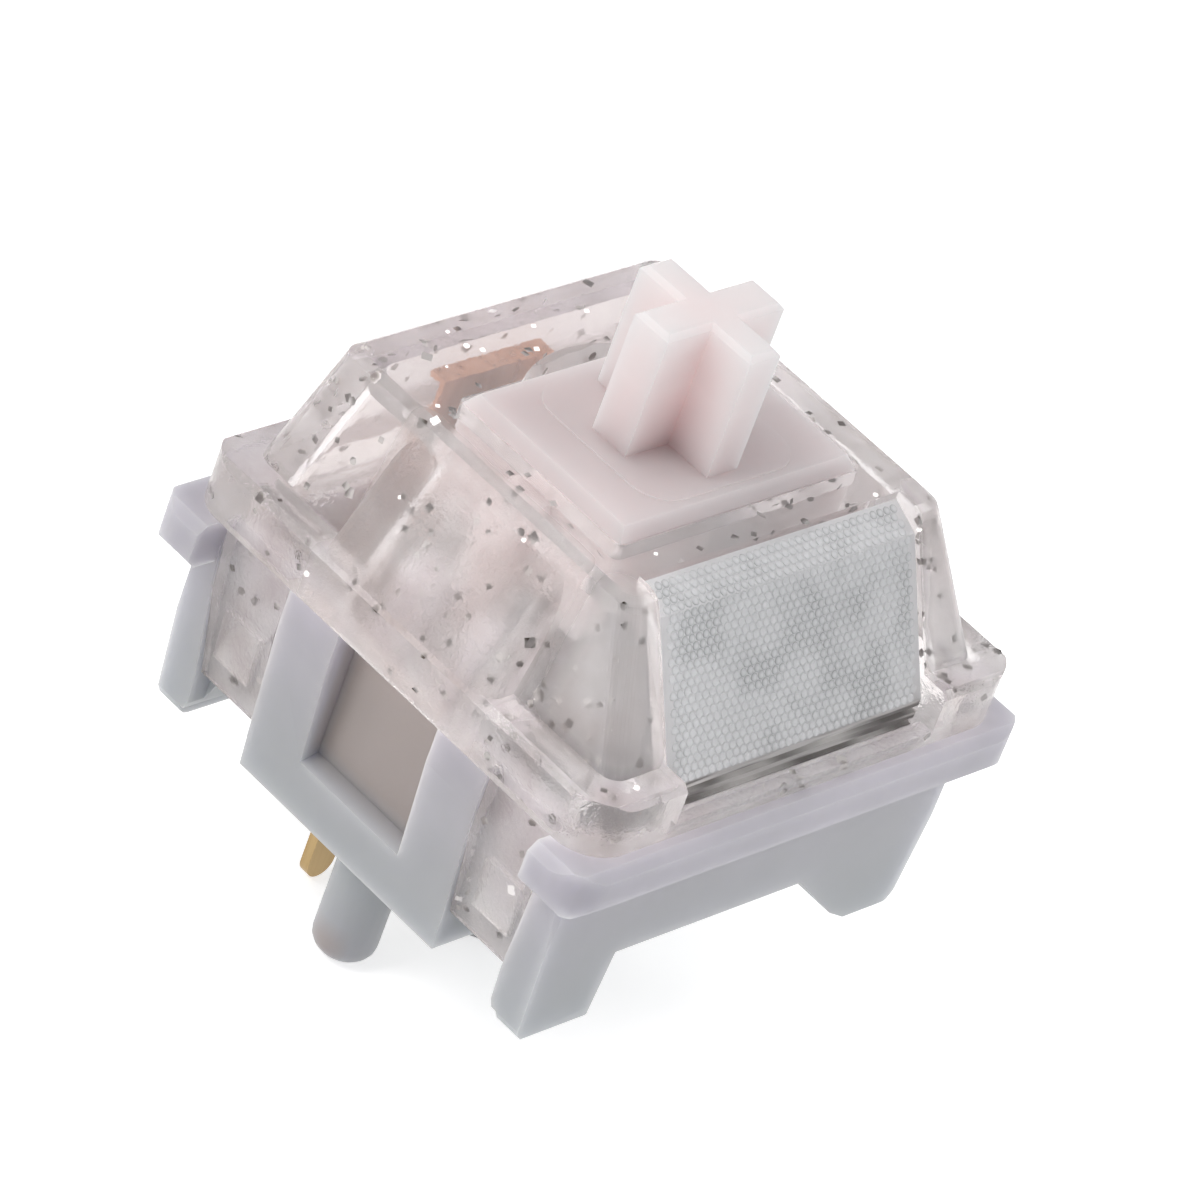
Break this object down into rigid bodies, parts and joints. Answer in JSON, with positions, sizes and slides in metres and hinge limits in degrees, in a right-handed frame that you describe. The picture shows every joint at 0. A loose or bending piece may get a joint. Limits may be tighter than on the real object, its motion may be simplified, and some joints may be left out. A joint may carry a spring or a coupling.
{
  "type": "mechanical keyboard switch",
  "caption": "Key switch with a clear glitter housing, milky base and cross stem on a spring, leaf contact, light lens, and a post, pegs and pins for a circuit board.",
  "frame": {"origin": "on the stem axis, in the plane of the circuit board on which the feet stand", "axes": "+Z along the stem axis, away from the board; -Y towards the light lens; +Y towards the contacts; +X to the right when seen from the lens side"},
  "size_m": [0.016, 0.016, 0.0188],
  "materials": {
    "milky_base": "satin milky plastic",
    "clear_glitter": "clear plastic with glitter flakes",
    "milky_stem": "satin milky plastic",
    "spring_steel": "plain steel wire",
    "frosted_lens": "frosted lens with a fine array of domes",
    "terminal_brass": "bright sheet",
    "copper_leaf": "thin copper alloy sheet",
    "contact_gold": "gold plated"
  },
  "bodies": {
    "base": {"bottom_housing": "milky_base", "top_housing": "clear_glitter", "light_lens": "frosted_lens", "fixed_terminal": "terminal_brass", "fixed_contact_point": "contact_gold", "moving_terminal": "terminal_brass", "return_spring": "spring_steel"},
    "plunger": {"stem": "milky_stem"},
    "leaf": {"contact_leaf": "copper_leaf", "moving_contact_point": "contact_gold"}
  },
  "joints": [
    {"name": "stem_travel", "type": "slide", "parent": "base", "child": "plunger", "axis": [0, 0, -1], "range_m": [0, 0.004], "stiffness_N_per_m": 67, "springref_m": -0.005, "deforming": ["return_spring"]},
    {"name": "leaf_flex", "type": "hinge", "parent": "base", "child": "leaf", "pos_m": [0, 0.00447, 0.003], "axis": [1, 0, 0], "range_deg": [0, 7.8]}
  ],
  "couplings": [
    {"joint": "leaf_flex", "follows": "stem_travel", "rad_per_m": 33.78}
  ]
}
